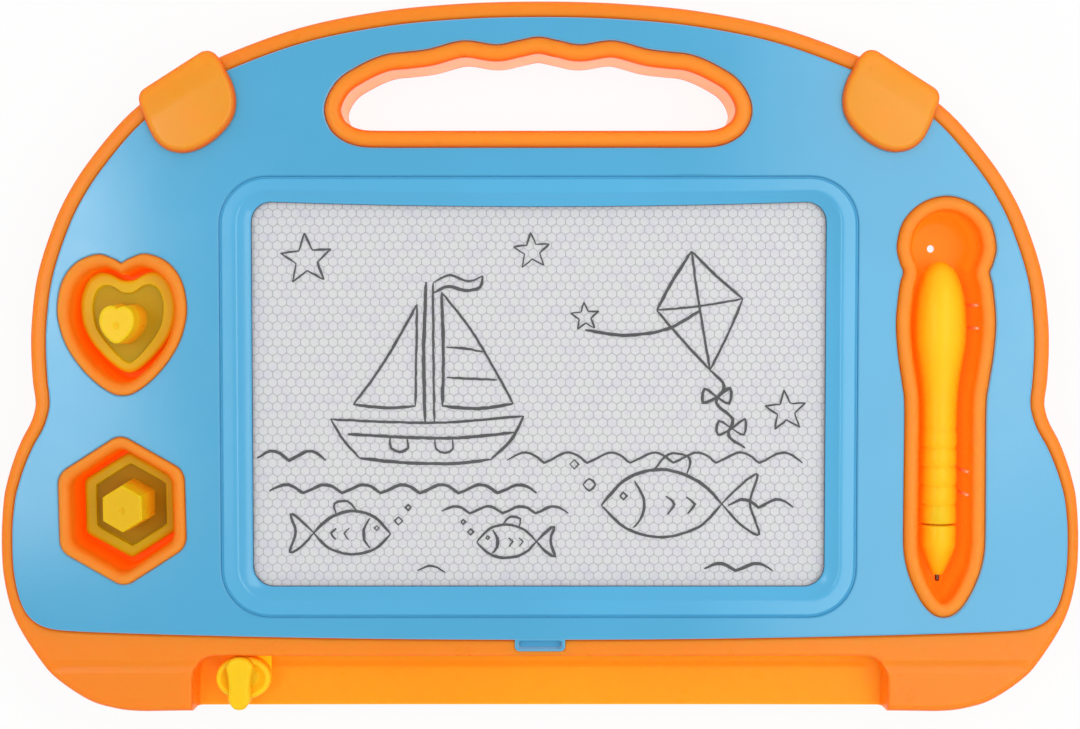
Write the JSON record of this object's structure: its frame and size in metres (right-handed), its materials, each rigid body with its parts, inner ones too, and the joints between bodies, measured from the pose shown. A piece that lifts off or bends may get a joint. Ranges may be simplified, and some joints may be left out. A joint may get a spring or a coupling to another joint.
{
  "type": "magnetic drawing board",
  "caption": "Flat toy drawing board with a carrying hole, a sliding magnetic eraser, a pen in a tray and lift-out stamps in shaped pockets.",
  "frame": {"origin": "middle of the flat back, below the middle of the board's outline", "axes": "+X along the board's width to the right of the picture, +Y up the picture towards the carrying hole, +Z out of the screen"},
  "size_m": [0.262, 0.1728, 0.0275],
  "materials": {
    "orange_plastic": "moulded orange plastic with a satin shine",
    "blue_plastic": "moulded sky blue plastic with a glossy face",
    "yellow_plastic": "moulded warm yellow plastic with a satin shine",
    "clear_film": "thin clear film",
    "pale_honeycomb": "milky cell panel filled with grey liquid",
    "white_film": "thin white film",
    "screw_steel": "zinc-plated screws",
    "dark_metal": "dark magnet metal",
    "magnet_black": "flexible bonded magnet, matt black"
  },
  "bodies": {
    "board": {"back_cover": "orange_plastic", "main_body": "orange_plastic", "front_plate": "blue_plastic", "screen_bezel": "blue_plastic", "handle_grip": "orange_plastic", "pen_tray": "orange_plastic", "heart_pocket": "orange_plastic", "hexagon_pocket": "orange_plastic", "corner_clip_left": "orange_plastic", "corner_clip_right": "orange_plastic", "screen_front_film": "clear_film", "honeycomb_panel": "pale_honeycomb", "screen_back_film": "white_film", "screen_rail_top": "orange_plastic", "screen_rail_bottom": "orange_plastic", "rail_screw_top_left": "screw_steel", "rail_screw_top_right": "screw_steel", "rail_screw_bottom_left": "screw_steel", "rail_screw_bottom_right": "screw_steel", "cover_screw_upper_left": "screw_steel", "cover_screw_upper_right": "screw_steel", "cover_screw_waist_left": "screw_steel", "cover_screw_waist_right": "screw_steel", "cover_screw_lower_left": "screw_steel", "cover_screw_lower_right": "screw_steel", "cover_screw_bar_left": "screw_steel", "cover_screw_bar_right": "screw_steel", "clip_screw_left": "screw_steel", "clip_screw_right": "screw_steel"},
    "eraser": {"eraser_bar": "yellow_plastic", "eraser_magnet_strip": "magnet_black", "slider_knob": "yellow_plastic", "slider_knob_screw": "screw_steel"},
    "pen": {"pen_barrel": "yellow_plastic", "pen_tip": "yellow_plastic", "pen_nib": "dark_metal"},
    "heart_stamp": {"heart_stamp": "yellow_plastic", "heart_stamp_magnet": "magnet_black"},
    "hexagon_stamp": {"hexagon_stamp": "yellow_plastic", "hexagon_stamp_magnet": "magnet_black"}
  },
  "joints": [
    {"name": "eraser_slide", "type": "slide", "parent": "board", "child": "eraser", "axis": [1, 0, 0], "range_m": [-0.0052, 0.149]},
    {"name": "pen_lift", "type": "slide", "parent": "board", "child": "pen", "axis": [0, 0, 1], "range_m": [0, 0.03]},
    {"name": "heart_stamp_lift", "type": "slide", "parent": "board", "child": "heart_stamp", "axis": [0, 0, 1], "range_m": [0, 0.03]},
    {"name": "hexagon_stamp_lift", "type": "slide", "parent": "board", "child": "hexagon_stamp", "axis": [0, 0, 1], "range_m": [0, 0.03]}
  ]
}
